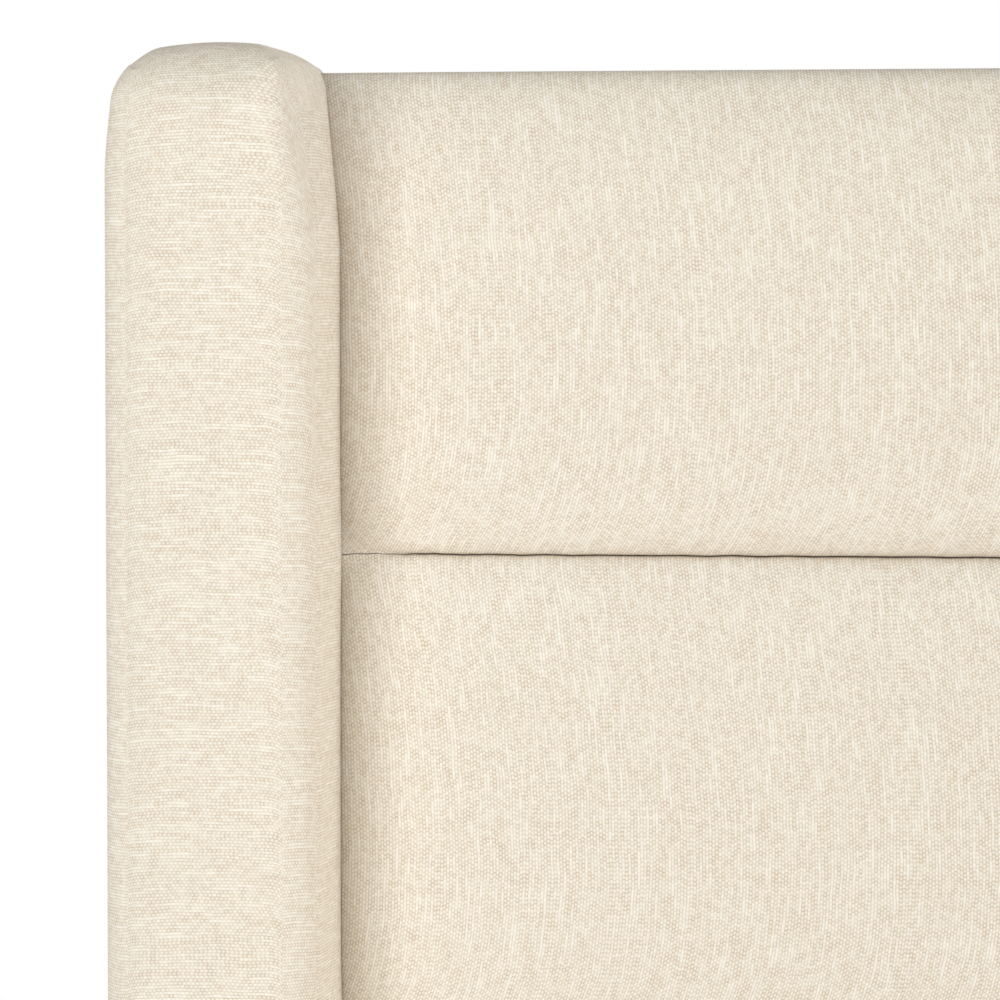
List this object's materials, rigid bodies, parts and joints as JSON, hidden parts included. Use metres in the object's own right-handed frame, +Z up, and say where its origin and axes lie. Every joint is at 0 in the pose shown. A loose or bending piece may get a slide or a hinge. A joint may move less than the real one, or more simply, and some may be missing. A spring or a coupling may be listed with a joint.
{
  "type": "upholstered headboard bed",
  "caption": "Queen bed with a tall headboard of horizontal padded channels between padded wings, low padded rails, slats and a centre support with screw feet.",
  "frame": {"origin": "on the floor under the middle of the bed's outline", "axes": "+Z up, +Y towards the back of the headboard, +X to the right hand of someone at the foot who looks at the headboard"},
  "size_m": [1.866, 2.235, 1.33],
  "materials": {
    "upholstery": "matte",
    "frame_wood": "matte",
    "plywood": "matte",
    "slat_wood": "matte",
    "leg_wood": "satin",
    "zinc_steel": "satin",
    "black_steel": "satin",
    "nylon": "matte",
    "webbing": "matte"
  },
  "bodies": {
    "bed_frame": {"channel_pad_1": "upholstery", "channel_pad_2": "upholstery", "channel_pad_3": "upholstery", "channel_pad_4": "upholstery", "headboard_lower_cover": "upholstery", "headboard_back_board": "upholstery", "wing_left_cover": "upholstery", "wing_right_cover": "upholstery", "side_rail_left_pad": "upholstery", "side_rail_right_pad": "upholstery", "foot_rail_pad": "upholstery", "headboard_left_stile": "frame_wood", "headboard_right_stile": "frame_wood", "headboard_top_rail": "frame_wood", "headboard_middle_rail": "frame_wood", "headboard_bottom_rail": "frame_wood", "side_rail_left_board": "frame_wood", "side_rail_right_board": "frame_wood", "side_rail_left_cleat": "frame_wood", "side_rail_right_cleat": "frame_wood", "foot_rail_board": "frame_wood", "corner_blocks": "frame_wood", "centre_rail": "frame_wood", "headboard_front_board": "plywood", "wing_left_core": "plywood", "wing_right_core": "plywood", "slat_01": "slat_wood", "slat_02": "slat_wood", "slat_03": "slat_wood", "slat_04": "slat_wood", "slat_05": "slat_wood", "slat_06": "slat_wood", "slat_07": "slat_wood", "slat_08": "slat_wood", "slat_09": "slat_wood", "slat_10": "slat_wood", "slat_11": "slat_wood", "slat_12": "slat_wood", "headboard_left_leg": "leg_wood", "headboard_right_leg": "leg_wood", "foot_left_leg": "leg_wood", "foot_right_leg": "leg_wood", "wing_bolts": "zinc_steel", "wing_inserts": "zinc_steel", "leg_studs": "zinc_steel", "rail_hook_plates": "zinc_steel", "rail_socket_plates": "zinc_steel", "plate_screws": "zinc_steel", "slat_screws": "zinc_steel", "centre_rail_hangers": "zinc_steel", "centre_leg_1": "black_steel", "centre_leg_2": "black_steel", "leg_glides": "nylon", "centre_leg_plugs": "nylon", "slat_straps": "webbing"},
    "leveller_pad_1": {"leveller_pad_1": "nylon"},
    "leveller_pad_2": {"leveller_pad_2": "nylon"},
    "leveller_stem_1": {"leveller_stem_1": "zinc_steel"},
    "leveller_stem_2": {"leveller_stem_2": "zinc_steel"}
  },
  "joints": [
    {"name": "leveller_travel_1", "type": "slide", "parent": "bed_frame", "child": "leveller_pad_1", "axis": [0, 0, 1], "range_m": [0, 0.015]},
    {"name": "leveller_turn_1", "type": "hinge", "parent": "leveller_pad_1", "child": "leveller_stem_1", "pos_m": [0, -0.35, 0.02], "axis": [0, 0, 1], "range_deg": [0, 4320]},
    {"name": "leveller_travel_2", "type": "slide", "parent": "bed_frame", "child": "leveller_pad_2", "axis": [0, 0, 1], "range_m": [0, 0.015]},
    {"name": "leveller_turn_2", "type": "hinge", "parent": "leveller_pad_2", "child": "leveller_stem_2", "pos_m": [0, 0.35, 0.02], "axis": [0, 0, 1], "range_deg": [0, 4320]}
  ],
  "couplings": [
    {"joint": "leveller_turn_1", "follows": "leveller_travel_1", "rad_per_m": 5026.5},
    {"joint": "leveller_turn_2", "follows": "leveller_travel_2", "rad_per_m": 5026.5}
  ]
}
